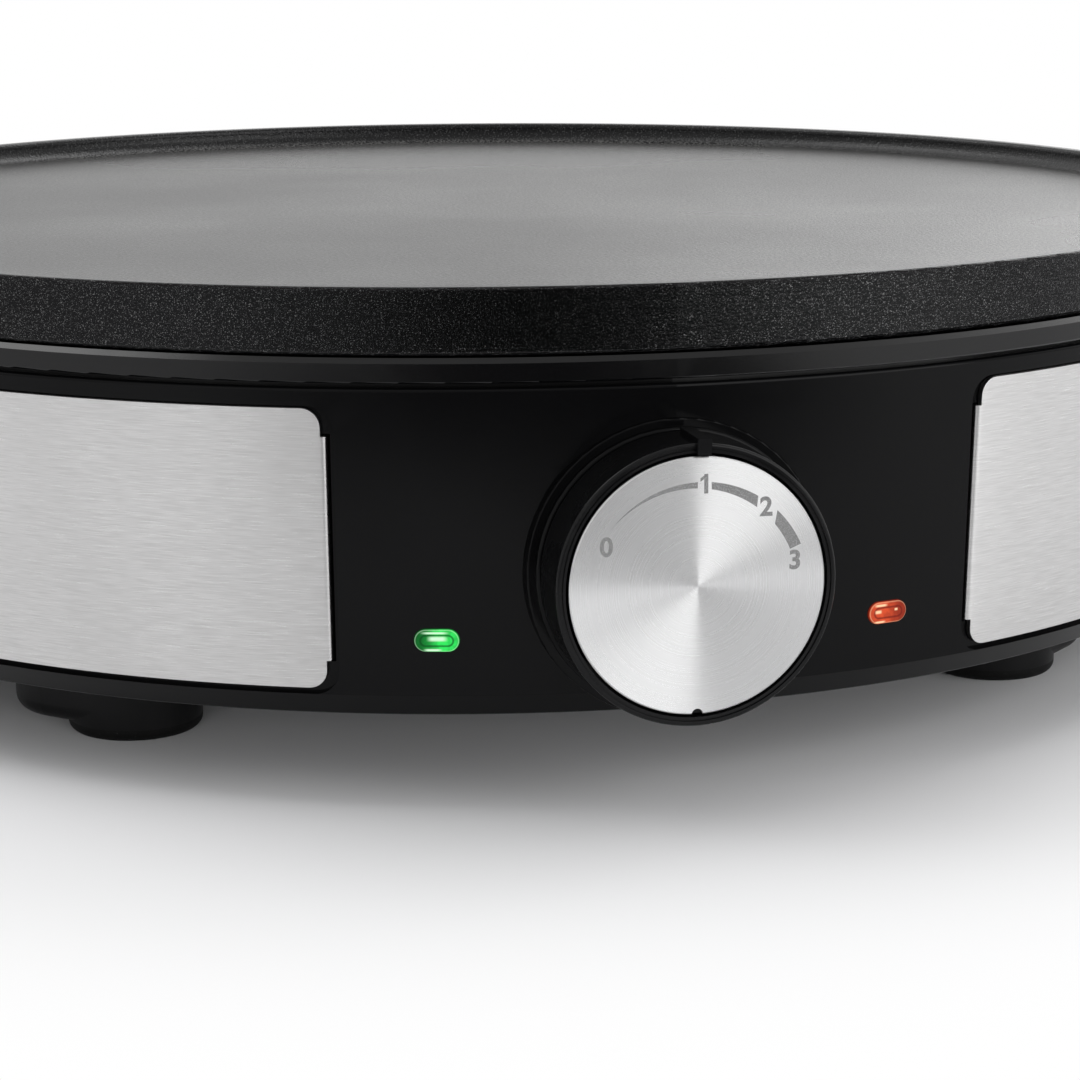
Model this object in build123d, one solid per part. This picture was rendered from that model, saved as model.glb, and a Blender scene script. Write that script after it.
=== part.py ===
from build123d import *
import os
from math import cos, degrees, radians, sin, sqrt, tan

# Electric crepe maker: a fixed round baking plate on a drum-shaped housing with one knob.
# Millimetres and degrees. It stands on z = 0 and the knob faces -Y.
# An azimuth is counted from the front (-Y) towards +X; a reach is a distance from the
# plate's axis towards the front.

# Heights, stacked from the table up
pad_height = 2.2
column_height = 12.4
skirt_height = 4.05
window_height = 46.65
shoulder_height = 2.9
ring_groove = 0.8
ring_band_height = 3.9
plate_gap = 0.3
band_height = 10.6

# Baking plate
plate_radius = 152.0
rim_width = 3.0
rim_depth = 4.4
rim_fillet = 3.0
rim_edge = 0.4
plate_thickness = 4.5
lug_radius = 5.5
lug_inset = 12.2
lug_azimuths = [45, 135, 225, 315]

# Upper ring
ring_overhang = 0.8
ring_chamfer = 0.8
ring_edge = 0.3
ring_wall = 3.2
ring_flange = 2.0

# Housing
housing_step = 0.6
draft = 2.0
skirt_turn_in = 3.5
wall = 3.0
flange_thickness = 2.5
flange_width = 26.7
tower_radius = 4.5
tower_inset = 10.0
tower_azimuths = [25, 90, 155, 205, 270, 335]

# Side panels
panel_start = 20.6
panel_end = 80.0
panel_thickness = 1.0
panel_gap = 1.0
panel_top_gap = 0.4
panel_backing = 0.15
panel_corner = 3.0
lip_depth = 6.0
lip_relief = 4.5

# Temperature knob
knob_height = 38.7
boss_margin = 0.5
boss_foot_margin = 1.3
boss_foot_setback = 1.0
boss_rise = 2.23
boss_floor = 2.5
boss_land = 4.5
knob_gap = 0.8
knob_radius = 22.3
knob_depth = 10.4
knob_wall = 1.5
knob_groove_inset = 0.8
knob_groove_width = 0.3
knob_groove_depth = 0.3
web_thickness = 2.0
hub_wall = 2.2
hub_length = 4.4
pointer_width = 2.2
pointer_rise = 0.8
pointer_proud = 1.0
pointer_angle = 2.0
scale_start = -67.0
scale_end = 75.0
dial_gap = 0.5
dial_thickness = 0.9
dial_proud = 0.2
notch_radius = 0.9
peg_offset = 7.3
peg_radius = 2.2
peg_tail_radius = 1.4
stake_radius = 2.6
stake_height = 1.2

# Thermostat
spindle_radius = 3.0
spindle_flat_depth = 1.5
spring_thickness = 0.45
bush_wall = 1.5
bush_setback = 1.0
post_radius = 4.0
post_gap = 1.2
post_depth = 12.4
faceplate_thickness = 1.2
faceplate_height = 22.0
thermostat_size = 36.0
thermostat_depth = 26.0
spindle_insert = 4.0
bulb_radius = 3.2
bulb_length = 70.0
bulb_inset = 35.0
capillary_radius = 0.8

# Heating element
element_radius = 3.3
element_inset = 57.0
element_gap_angle = 28.0
element_bend = 9.0
element_tail = 14.0
channel_wall = 2.4
pin_radius = 1.6
pin_length = 8.0
strap_thickness = 1.2
strap_width = 9.0
element_clamp_azimuths = [60, 180, 300]

# Heat reflector
reflector_thickness = 0.6
reflector_rim = 5.5
reflector_drop = 9.0
reflector_slope = 6.0
reflector_screw_azimuths = [90, 210, 330]

# Signal lamps
lamp_azimuth = 14.3
lamp_height = 27.9
lens_length = 7.2
lens_height = 3.7
lens_proud = 0.5
lens_flange = 1.4
lens_flange_thickness = 1.2
socket_wall = 0.75
socket_length = 8.0
neon_radius = 2.2
neon_length = 13.0

# Bottom cover and feet
cover_recess = 2.6
cover_thickness = 2.0
foot_inset = 30.0
foot_azimuth = 42.9
foot_radius = 11.7
foot_stretch = 11.6
foot_rounding = 3.0
column_wall = 2.5
column_floor = 3.0
pad_fillet = 1.8
pad_stem_radius = 4.0
pad_stem_length = 5.5
vent_width = 3.0
vent_length = 26.0
vent_pitch = 8.0
vent_count = 7

# Cord entry and terminals
gland_height = 34.0
gland_bore = 3.6
gland_wall = 3.0
gland_lip = 2.4
gland_flange_thickness = 3.0
gland_pad_margin = 2.0
gland_pad_rise = 0.8
block_length = 34.0
block_width = 18.0
block_height = 15.0
block_inset = 43.0
block_seat = 4.0
clamp_inset = 21.0
clamp_pillar_spacing = 18.0
clamp_thickness = 4.0
lead_radius = 1.3
block_run = 20.0
supply_side = 50.0
supply_turn = 40.0
supply_height = 4.5
supply_bends = [14.0, 24.0, 24.0, 10.0, 6.0]
tab_turn = 27.0
tab_run = 11.0
tab_width = 6.3
tab_thickness = 0.8
tab_length = 3.0
tab_spacing = 11.0
tab_rise = 9.0

# Thermal fuse
fuse_radius = 2.2
fuse_length = 12.0
fuse_offset = 40.0
fuse_clip_sheet = 0.5
fuse_clip_ear = 4.0

# Screws
shank_radius = 1.5
head_radius = 2.9
head_height = 2.0
thread_depth = 6.0

# Clearances
shaft_fit = 0.05
edge_gap = 0.4
slide_gap = 0.3

# Levels that follow from the sizes
body_bottom = pad_height + column_height
window_bottom = body_bottom + skirt_height
window_top = window_bottom + window_height
housing_top = window_top + shoulder_height
ring_bottom = housing_top + ring_groove
ring_top = ring_bottom + ring_band_height
plate_bottom = ring_top + plate_gap
rim_top = plate_bottom + band_height
surface_level = rim_top - rim_depth
plate_under = surface_level - plate_thickness
flange_bottom = housing_top - flange_thickness
flange_top = housing_top + ring_flange
cover_bottom = body_bottom + cover_recess
cover_top = cover_bottom + cover_thickness
plate_inner_radius = plate_radius - rim_width
ring_radius = plate_radius + ring_overhang
housing_radius = ring_radius - housing_step
element_level = plate_under - element_radius
strap_level = element_level - element_radius - shaft_fit
reflector_level = flange_top - reflector_drop



def wall_radius(height):
    """Outer radius of the drafted housing wall at a height."""
    return housing_radius - (housing_top - height) * tan(radians(draft))


# Radii that follow from the plate's
skirt_radius = wall_radius(window_bottom) - skirt_turn_in
cover_radius = skirt_radius - wall - edge_gap
opening_radius = housing_radius - flange_width
lug_ring_radius = housing_radius - lug_inset
tower_ring_radius = skirt_radius - wall - tower_inset
foot_ring_radius = skirt_radius - foot_inset
block_distance = skirt_radius - block_inset
clamp_distance = skirt_radius - clamp_inset
element_ring_radius = plate_radius - element_inset
bulb_reach = element_ring_radius - bulb_inset

# Fits round the knob, lamps and gland
boss_radius = knob_radius + boss_margin
dial_radius = knob_radius - knob_wall - dial_gap
hub_radius = spindle_radius + hub_wall
peg_ring_radius = hub_radius + peg_offset
spindle_flat = spindle_radius - spindle_flat_depth
bush_radius = spindle_radius + bush_wall
post_spacing = 2 * (boss_radius + post_gap)
socket_radius = neon_radius + slide_gap + socket_wall
gland_neck = gland_bore + gland_wall
gland_flange = gland_neck + gland_lip
gland_pad_radius = gland_flange + gland_pad_margin

# Places along the knob's axis, as reaches
boss_reach = wall_radius(knob_height) + boss_rise
post_reach = boss_reach - post_depth
ring_back = boss_reach + knob_gap
web_front = ring_back + web_thickness
ring_front = ring_back + knob_depth
dial_face = ring_front + dial_proud
dial_back = dial_face - dial_thickness
carrier_back = web_front + knob_gap
pocket_reach = boss_reach - boss_floor
hub_front = web_front + hub_length
bush_front = boss_reach - bush_setback
thermostat_front = post_reach - faceplate_thickness
thermostat_back = thermostat_front - thermostat_depth


def spun(outline, start=0, end=360):
    """Solid of revolution about Z of an outline in (radius, height), between two azimuths."""
    face = make_face(Plane.XZ * Polyline(*outline, close=True))
    return Rot(0, 0, start - 90) * revolve(face, Axis.Z, end - start)


def upright(radius, low, high, x=0, y=0):
    """Cylinder along Z between two levels."""
    return Pos(x, y, (low + high) / 2) * Cylinder(radius, high - low)


def forward(radius, back, front, x=0, z=knob_height):
    """Cylinder along Y between two reaches."""
    return Pos(x, -(back + front) / 2, z) * Rot(90, 0, 0) * Cylinder(radius, front - back)


def forward_block(width, height, back, front, x=0, z=knob_height):
    """Block along Y between two reaches."""
    return Pos(x, -(back + front) / 2, z) * Box(width, front - back, height)


def forward_pill(length, height, back, front, z):
    """Bar of pill section along Y between two reaches."""
    plane = Plane(origin=(0, -back, z), x_dir=(1, 0, 0), z_dir=(0, -1, 0))
    return extrude(plane * SlotOverall(length, height), front - back)


def turned(shape, azimuth):
    """A piece made at the front, carried round the plate's axis to an azimuth."""
    return Rot(0, 0, azimuth) * shape


def spot(radius, azimuth):
    """Plan position (x, y) at a radius and azimuth."""
    return radius * sin(radians(azimuth)), -radius * cos(radians(azimuth))


def gathered(pieces):
    """One node that holds several separate solids."""
    return Compound([solid for piece in pieces for solid in piece.solids()])


def screw(length, shank=shank_radius, head=head_radius, thickness=head_height):
    """Pan-head screw along +Z with its head's seat at z = 0 and a cross recess below."""
    head_disc = upright(head, -thickness, 0)
    head_disc = fillet(head_disc.edges().group_by(Axis.Z)[0], thickness * 0.45)
    recess = Box(head * 1.1, 0.7, thickness) + Box(0.7, head * 1.1, thickness)
    return head_disc + upright(shank, 0, length) - Pos(0, 0, -thickness) * recess


def ring_edges(shape, radius, level):
    """Round edges about Z that have a radius and lie at a level."""
    rounds = shape.edges().filter_by(GeomType.CIRCLE)
    return rounds.filter_by(lambda e: abs(e.radius - radius) < 0.01 and abs(e.center().Z - level) < 0.01)


# Baking plate with its heating gear

def make_baking_plate():
    inner_rim = plate_inner_radius
    profile = [
        (0, plate_under), (inner_rim - 1, plate_under), (inner_rim, plate_bottom),
        (plate_radius, plate_bottom), (plate_radius, rim_top), (inner_rim, rim_top),
        (inner_rim, surface_level), (0, surface_level),
    ]
    plate = spun(profile)
    plate = fillet(ring_edges(plate, inner_rim, surface_level), rim_fillet)
    plate = fillet(ring_edges(plate, inner_rim, rim_top), rim_width * 0.3)
    plate = fillet(ring_edges(plate, plate_radius, rim_top), rim_edge)
    plate = fillet(ring_edges(plate, plate_radius, plate_bottom), rim_width * 0.2)
    half_channel = element_radius + channel_wall
    plate += spun([
        (element_ring_radius - half_channel, element_level),
        (element_ring_radius + half_channel, element_level),
        (element_ring_radius + half_channel, plate_under + 1),
        (element_ring_radius - half_channel, plate_under + 1),
    ])
    plate -= Pos(0, 0, element_level) * Torus(element_ring_radius, element_radius + shaft_fit)
    for azimuth in lug_azimuths:
        x, y = spot(lug_ring_radius, azimuth)
        plate += upright(lug_radius, flange_top, plate_under + 1, x, y)
        plate -= upright(shank_radius + shaft_fit, flange_top, flange_top + thread_depth, x, y)
    for x, y in element_boss_spots() + bulb_boss_spots():
        plate += upright(head_radius + 1, strap_level, plate_under + 1, x, y)
        plate -= upright(shank_radius + shaft_fit, strap_level, strap_level + thread_depth, x, y)
    return plate


def make_heating_element():
    half_gap = element_gap_angle / 2
    loop = CenterArc((0, 0, element_level), element_ring_radius, half_gap - 90, 360 - element_gap_angle)
    tails = []
    for side in (1, -1):
        x, y = spot(element_ring_radius, side * half_gap)
        along = Vector(-side * cos(radians(half_gap)), -sin(radians(half_gap)), 0)
        start = Vector(x, y, element_level)
        down = Vector(0, 0, -element_bend)
        middle = start + along * (element_bend * sin(radians(45))) + down * (1 - cos(radians(45)))
        bottom = start + along * element_bend + down
        foot = bottom + Vector(0, 0, -element_tail)
        tails.append([ThreePointArc(start, middle, bottom), Line(bottom, foot), foot])
    path = Wire([tails[0][1], tails[0][0], loop, tails[1][0], tails[1][1]])
    first = tails[0][2]
    section = Plane(origin=first, z_dir=(0, 0, 1)) * Circle(element_radius)
    element = sweep(section, path)
    for tail in tails:
        foot = tail[2]
        element += upright(pin_radius, foot.Z - pin_length, foot.Z + 1, foot.X, foot.Y)
    return element


def element_pin_spot(side):
    """Plan position of the cold pin on one side of the loop's gap."""
    half_gap = element_gap_angle / 2
    x, y = spot(element_ring_radius, side * half_gap)
    return x - side * cos(radians(half_gap)) * element_bend, y - sin(radians(half_gap)) * element_bend


def strap_offset(held_radius):
    """Distance from a clamped tube's axis to the clamp's screws."""
    return held_radius + channel_wall + head_radius + 1.2


def element_boss_spots():
    offset = strap_offset(element_radius)
    return [
        spot(element_ring_radius + side * offset, azimuth)
        for azimuth in element_clamp_azimuths for side in (-1, 1)
    ]


def bulb_boss_spots():
    offset = strap_offset(bulb_radius)
    return [(0, -bulb_reach - side * offset) for side in (-1, 1)]


def make_strap(offset):
    """Flat clamp strap along Y, its top face at the strap level."""
    length = 2 * (offset + head_radius + 1)
    strap = Pos(0, 0, strap_level - strap_thickness / 2) * Box(strap_width, length, strap_thickness)
    strap = fillet(strap.edges().filter_by(Axis.Z), 2.0)
    for side in (-1, 1):
        strap -= upright(shank_radius + slide_gap, strap_level - 5, strap_level + 5, 0, side * offset)
    return strap


def make_element_clamps():
    strap = make_strap(strap_offset(element_radius))
    return gathered([
        turned(Pos(0, -element_ring_radius, 0) * strap, azimuth) for azimuth in element_clamp_azimuths
    ])


def make_bulb_clip():
    return Pos(0, -bulb_reach, 0) * make_strap(strap_offset(bulb_radius))


def make_strap_screws(spots):
    seat = strap_level - strap_thickness
    return gathered([Pos(x, y, seat) * screw(strap_thickness + thread_depth - 0.5) for x, y in spots])


def make_plate_screws():
    length = flange_thickness + ring_flange + thread_depth - 0.5
    return gathered([
        Pos(*spot(lug_ring_radius, azimuth), flange_bottom) * screw(length) for azimuth in lug_azimuths
    ])


# Collar and reflector

def make_upper_ring():
    inner = ring_radius - ring_wall
    ring = spun([
        (opening_radius, housing_top), (inner, housing_top), (inner, ring_bottom),
        (ring_radius, ring_bottom), (ring_radius, ring_top - ring_chamfer),
        (ring_radius - ring_chamfer, ring_top), (inner, ring_top), (inner - ring_flange, flange_top),
        (opening_radius, flange_top),
    ])
    ring = fillet(ring_edges(ring, ring_radius, ring_bottom), ring_edge)
    for azimuth in lug_azimuths:
        x, y = spot(lug_ring_radius, azimuth)
        ring -= upright(shank_radius + slide_gap, housing_top - 1, flange_top + 1, x, y)
    for azimuth in reflector_screw_azimuths:
        x, y = spot(opening_radius + reflector_rim / 2, azimuth)
        ring -= upright(shank_radius + shaft_fit, housing_top - 1, flange_top + 1, x, y)
    return ring


def make_heat_reflector():
    outer = opening_radius + reflector_rim
    shoulder = opening_radius - slide_gap
    floor_radius = shoulder - reflector_slope
    rim_level = flange_top + reflector_thickness
    dish = spun([
        (0, reflector_level), (floor_radius, reflector_level), (shoulder, flange_top),
        (outer, flange_top), (outer, rim_level), (shoulder - reflector_thickness, rim_level),
        (floor_radius - reflector_thickness, reflector_level + reflector_thickness),
        (0, reflector_level + reflector_thickness),
    ])
    for side in (-1, 1):
        dish -= upright(element_radius + 1.5, reflector_level - 5, flange_top + 5, *element_pin_spot(side))
    dish -= upright(capillary_radius + 2, reflector_level - 5, flange_top + 5, *capillary_drop())
    for azimuth in reflector_screw_azimuths:
        x, y = spot(opening_radius + reflector_rim / 2, azimuth)
        dish -= upright(shank_radius + slide_gap, flange_top - 1, rim_level + 1, x, y)
    return dish


def make_reflector_screws():
    seat = flange_top + reflector_thickness
    length = ring_flange + reflector_thickness
    fixing = Rot(180, 0, 0) * screw(length, head=reflector_rim / 2 - 0.2, thickness=1.4)
    return gathered([
        Pos(*spot(opening_radius + reflector_rim / 2, azimuth), seat) * fixing
        for azimuth in reflector_screw_azimuths
    ])


# Housing and side panels

def panel_block(low, high, start, end, deep, proud):
    """Sector that follows the drafted wall from a depth below its face to a rise above it."""
    return spun([
        (wall_radius(low) - deep, low), (wall_radius(low) + proud, low),
        (wall_radius(high) + proud, high), (wall_radius(high) - deep, high),
    ], start, end)


def lip_angles(clearance):
    """Start and end azimuths of the lips at both ends of the right panel."""
    thick = degrees((panel_thickness + clearance) / wall_radius(window_bottom))
    spare = degrees(clearance / wall_radius(window_bottom))
    return [(panel_start - spare, panel_start + thick), (panel_end - thick, panel_end + spare)]


def make_lips(clearance):
    low = window_bottom + panel_gap + lip_relief - clearance
    high = window_top - panel_top_gap - lip_relief + clearance
    return [
        panel_block(low, high, start, end, lip_depth + clearance, -panel_thickness / 2)
        for start, end in lip_angles(clearance)
    ]


def make_right_panel():
    panel = panel_block(
        window_bottom + panel_gap, window_top - panel_top_gap, panel_start, panel_end,
        panel_thickness, 0)
    panel = fillet(short_edges(panel), panel_corner)
    for lip in make_lips(0):
        panel += lip
    return panel


def short_edges(block):
    """The four radial corner edges of a sector."""
    return block.edges().sort_by(SortBy.LENGTH)[:4]


def make_window_cut():
    """Recess for the right panel and its adhesive film, with the slots for its folded lips."""
    spare = degrees(panel_gap / wall_radius(window_bottom))
    cut = panel_block(
        window_bottom, window_top, panel_start - spare, panel_end + spare,
        panel_thickness + panel_backing, wall)
    cut = fillet(short_edges(cut), panel_corner + panel_gap)
    for lip in make_lips(slide_gap):
        cut += lip
    return cut


def make_main_housing():
    inner_skirt = skirt_radius - wall
    inner_low = cover_top + wall
    shell = spun([
        (inner_skirt, body_bottom), (skirt_radius, body_bottom),
        (wall_radius(window_bottom), window_bottom), (housing_radius, housing_top),
        (opening_radius, housing_top), (opening_radius, flange_bottom),
        (wall_radius(flange_bottom) - wall, flange_bottom), (wall_radius(inner_low) - wall, inner_low),
        (inner_skirt, cover_top),
    ])
    shell = fillet(ring_edges(shell, housing_radius, housing_top), 0.6)
    shell = fillet(ring_edges(shell, skirt_radius, body_bottom), 0.6)
    window = make_window_cut()
    shell -= window
    shell -= mirror(window, Plane.YZ)
    shell = add_knob_boss(shell)
    shell = cut_lamp_windows(shell)
    shell = add_cord_pad(shell)
    for azimuth in tower_azimuths:
        x, y = spot(tower_ring_radius, azimuth)
        rib_length = wall_radius(inner_low) - wall / 2 - tower_ring_radius
        rib = forward_block(2, flange_bottom - inner_low, tower_ring_radius,
                            tower_ring_radius + rib_length, 0, (flange_bottom + inner_low) / 2)
        shell += turned(rib, azimuth)
        shell += upright(tower_radius, cover_top, flange_bottom + 1, x, y)
        shell -= upright(shank_radius + shaft_fit, cover_top, cover_top + thread_depth, x, y)
    for azimuth in lug_azimuths:
        x, y = spot(lug_ring_radius, azimuth)
        shell -= upright(shank_radius + slide_gap, flange_bottom - 1, housing_top + 1, x, y)
    for azimuth in reflector_screw_azimuths:
        x, y = spot(opening_radius + reflector_rim / 2, azimuth)
        shell -= upright(shank_radius + slide_gap, flange_bottom - 1, housing_top + 1, x, y)
    return shell


def add_knob_boss(shell):
    """Flat round boss in front of the wall, pegged and bored for the knob, with posts behind."""
    inner = wall_radius(knob_height) - wall
    boss_root = sqrt(inner ** 2 - boss_radius ** 2)
    boss = forward(boss_radius, boss_root, boss_reach)
    boss = fillet(boss.edges().group_by(Axis.Y)[0], 0.6)
    foot = forward(boss_radius + boss_foot_margin, boss_root, boss_reach - boss_foot_setback)
    shell += fillet(foot.edges().group_by(Axis.Y)[0], 0.3)
    shell += boss
    shell -= forward(boss_radius - boss_land, boss_root - 5, pocket_reach)
    shell -= forward(bush_radius + slide_gap, boss_root - 5, boss_reach + 5)
    for side in (-1, 1):
        x = side * post_spacing / 2
        post_root = sqrt((inner + wall / 2) ** 2 - (post_spacing / 2 + post_radius) ** 2)
        shell += forward(post_radius, post_reach, post_root, x)
        shell -= forward(shank_radius + shaft_fit, post_reach - 1, post_reach + thread_depth - 1, x)
        shell -= forward(peg_tail_radius + shaft_fit, boss_root - 5, boss_reach + 5, side * peg_ring_radius)
    return shell


def cut_lamp_windows(shell):
    reach = wall_radius(lamp_height)
    window = forward_pill(
        lens_length + 2 * shaft_fit, lens_height + 2 * shaft_fit, reach - wall - 2, reach + 5, lamp_height)
    for side in (-1, 1):
        shell -= turned(window, side * lamp_azimuth)
    return shell


def add_cord_pad(shell):
    """Flat pad on the rear wall that the cord gland seats on, with the gland's hole."""
    reach = wall_radius(gland_height)
    pad = forward(gland_pad_radius, reach - wall, reach + gland_pad_rise, 0, gland_height)
    pad = fillet(pad.edges().group_by(Axis.Y)[0], 0.4)
    hole = forward(gland_neck + shaft_fit, reach - 20, reach + 20, 0, gland_height)
    return shell + turned(pad, 180) - turned(hole, 180)


# Temperature knob

def knob_plane(reach):
    """Plane across the knob's axis, seen from the front."""
    return Plane(origin=(0, -reach, knob_height), x_dir=(1, 0, 0), z_dir=(0, -1, 0))


def spindle_section(clearance):
    """Spindle's D section."""
    flat = spindle_flat + clearance
    size = 4 * spindle_radius
    return Circle(spindle_radius + clearance) - Pos(0, flat + size / 2) * Rectangle(size, size)


def make_knob_ring():
    ring = forward(knob_radius, ring_back, ring_front)
    ring = fillet(ring.edges().group_by(Axis.Y)[0], 0.5)
    ring -= forward(knob_radius - knob_wall, web_front, ring_front + 1)
    groove_radius = knob_radius - knob_groove_inset
    groove = forward(groove_radius, ring_front - knob_groove_depth, ring_front + 1)
    ring -= groove - forward(groove_radius - knob_groove_width, ring_front - 1, ring_front + 2)
    swing = scale_end - scale_start
    for peg_clock in (90, 270):
        first_angle = 90 - peg_clock - (pointer_angle - scale_start)
        arc = CenterArc((0, 0), peg_ring_radius, first_angle, swing)
        slot = knob_plane(ring_back - 1) * SlotArc(arc, 2 * (peg_radius + slide_gap))
        ring -= extrude(slot, web_thickness + 2)
    ring += forward(hub_radius, ring_back, hub_front)
    ring -= extrude(knob_plane(ring_back - 1) * spindle_section(shaft_fit), hub_length + web_thickness + 2)
    spring_seat = spindle_flat + shaft_fit + spring_thickness / 2
    ring -= forward_block(spring_width() + 2 * shaft_fit, spring_thickness + 2 * shaft_fit,
                          web_front, hub_front + 1, 0, knob_height + spring_seat)
    pointer_low = dial_radius + slide_gap
    pointer_high = knob_radius + pointer_rise
    pointer = forward_block(pointer_width, pointer_high - pointer_low, ring_back + 1,
                            ring_front + pointer_proud, 0, knob_height + (pointer_low + pointer_high) / 2)
    pointer -= forward(knob_radius - knob_wall, ring_back, ring_front)
    pointer = Pos(0, 0, knob_height) * Rot(0, pointer_angle, 0) * Pos(0, 0, -knob_height) * pointer
    return ring + pointer


def spring_width():
    return 1.2 * spindle_radius


def make_knob_spring():
    seat = knob_height + spindle_flat + shaft_fit + spring_thickness / 2
    return forward_block(spring_width(), spring_thickness, web_front + slide_gap, hub_front, 0, seat)


def make_thermostat_spindle():
    back = thermostat_front - spindle_insert
    front = hub_front
    flat_start = ring_back - slide_gap
    spindle = forward(spindle_radius, back, flat_start)
    return spindle + extrude(knob_plane(flat_start) * spindle_section(0), front - flat_start)


def make_dial_disc():
    disc = forward(dial_radius, dial_back, dial_face)
    disc = chamfer(disc.edges().group_by(Axis.Y)[0], 0.2)
    return disc - forward(notch_radius, dial_back - 1, dial_face + 1, 0, knob_height - dial_radius)


def make_dial_carrier():
    carrier = forward(dial_radius, carrier_back, dial_back)
    carrier -= forward(hub_radius + 1, carrier_back - 1, hub_front + knob_gap)
    for side in (-1, 1):
        x = side * peg_ring_radius
        carrier += forward(peg_radius, boss_reach, carrier_back + 0.5, x)
        carrier += forward(peg_tail_radius, pocket_reach - stake_height, boss_reach + 0.5, x)
        carrier += forward(stake_radius, pocket_reach - stake_height, pocket_reach, x)
    return carrier


# Thermostat

def make_thermostat_faceplate():
    width = post_spacing + 2 * post_radius + 2
    plate = forward_block(width, faceplate_height, thermostat_front, post_reach)
    plate = fillet(plate.edges().filter_by(Axis.Y), 3.0)
    plate -= forward(bush_radius - 0.5 + shaft_fit, thermostat_front - 1, post_reach + 1)
    for side in (-1, 1):
        x = side * post_spacing / 2
        plate -= forward(shank_radius + slide_gap, thermostat_front - 1, post_reach + 1, x)
    return plate


def make_thermostat_bush():
    bush = forward(bush_radius, post_reach, bush_front)
    bush += forward(bush_radius + 2, post_reach, post_reach + 1.2)
    bush += forward(bush_radius - 0.5, thermostat_front, post_reach)
    return bush - forward(spindle_radius + shaft_fit, thermostat_front - 1, bush_front + 1)


def make_thermostat_body():
    body = forward_block(thermostat_size, thermostat_size * 0.72, thermostat_back, thermostat_front)
    body = fillet(body.edges().filter_by(Axis.Y), 2.5)
    body -= forward(spindle_radius + shaft_fit, thermostat_front - spindle_insert - 0.5, thermostat_front + 1)
    for side in (-1, 0, 1):
        body += forward_block(tab_width, tab_thickness, thermostat_back - tab_length, thermostat_back + 1,
                              side * tab_spacing, knob_height + tab_rise)
    return body


def tab_end(side):
    """Free end of one of the thermostat's outer terminal tabs."""
    return side * tab_spacing, tab_length - thermostat_back, knob_height + tab_rise


def make_thermostat_screws():
    fixing = Rot(90, 0, 0) * screw(faceplate_thickness + thread_depth - 1.5)
    return gathered([
        Pos(side * post_spacing / 2, -thermostat_front, knob_height) * fixing for side in (-1, 1)
    ])


def bulb_level():
    return plate_under - bulb_radius - shaft_fit


def make_sensing_bulb():
    bulb = Pos(0, -bulb_reach, bulb_level()) * Rot(0, 90, 0) * Cylinder(bulb_radius, bulb_length)
    return fillet(bulb.edges().filter_by(GeomType.CIRCLE), 1.0)


def capillary_drop():
    """Plan position where the capillary goes down through the reflector."""
    return -bulb_length / 2 - 17, -bulb_reach


def tube_along(points, radii, radius):
    """Round tube along straight runs joined by tangent arcs."""
    path = FilletPolyline(*points, radius=radii)
    return sweep(Plane(origin=path @ 0, z_dir=path % 0) * Circle(radius), path)


def make_capillary():
    x, y = capillary_drop()
    low = knob_height + 5
    entry = -thermostat_back
    return tube_along(
        [(-bulb_length / 2, y, bulb_level()), (x, y, bulb_level()), (x, y, low),
         (0, entry + 22, low), (0, entry, low)],
        [6.0, 8.0, 8.0], capillary_radius)


# Signal lamps

def make_lens(azimuth):
    reach = wall_radius(lamp_height)
    seat = reach - wall - slide_gap
    flange_back = seat - lens_flange_thickness
    lens = forward_pill(lens_length, lens_height, seat - 0.1, reach + lens_proud, lamp_height)
    lens = fillet(lens.edges().group_by(Axis.Y)[0], 0.4)
    lens += forward_pill(
        lens_length + 2 * lens_flange, lens_height + 2 * lens_flange, flange_back, seat, lamp_height)
    lens += forward(socket_radius, flange_back - socket_length, flange_back, 0, lamp_height)
    lens -= forward(
        neon_radius + slide_gap, flange_back - socket_length - 1, flange_back + 0.4, 0, lamp_height)
    return turned(lens, azimuth)


def make_neon_lamp(azimuth):
    front = wall_radius(lamp_height) - wall - slide_gap - lens_flange_thickness
    back = front - neon_length
    lamp = forward(neon_radius, back, front, 0, lamp_height)
    lamp = fillet(lamp.edges().group_by(Axis.Y)[0], neon_radius * 0.8)
    lamp += forward(neon_radius + slide_gap, back, back + 3, 0, lamp_height)
    for side in (-1, 1):
        lamp += forward(0.4, back - 5, back + 1, side * 1.1, lamp_height)
    return turned(lamp, azimuth)


# Bottom cover and feet

def foot_places():
    """Azimuth of each foot and the side its column stretches to, named by place."""
    return {
        "front_right": (foot_azimuth, 1),
        "front_left": (-foot_azimuth, -1),
        "rear_right": (180 - foot_azimuth, -1),
        "rear_left": (foot_azimuth - 180, 1),
    }


def make_column(side):
    """Hollow foot column below the cover, at the front, with the pad's hole in its floor."""
    middle = Pos(side * foot_stretch / 2, -foot_ring_radius, pad_height)
    outline = SlotCenterToCenter(foot_stretch, 2 * foot_radius)
    column = extrude(middle * outline, cover_bottom - pad_height)
    column = fillet(column.edges().group_by(Axis.Z)[0], foot_rounding)
    return column + upright(foot_radius, pad_height, cover_bottom, 0, -foot_ring_radius)


def make_column_hollow(side):
    middle = Pos(side * foot_stretch / 2, -foot_ring_radius, pad_height + column_floor)
    outline = SlotCenterToCenter(foot_stretch, 2 * (foot_radius - column_wall))
    hollow = extrude(middle * outline, cover_top + 1 - pad_height - column_floor)
    return hollow + upright(pad_stem_radius + shaft_fit, 0, cover_top, 0, -foot_ring_radius)


def make_foot_pad(azimuth):
    pad = upright(foot_radius, 0, pad_height)
    pad = fillet(pad.edges().group_by(Axis.Z)[0], pad_fillet)
    pad += upright(pad_stem_radius, pad_height - 0.5, pad_height + pad_stem_length)
    return turned(Pos(0, -foot_ring_radius, 0) * pad, azimuth)


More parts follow.
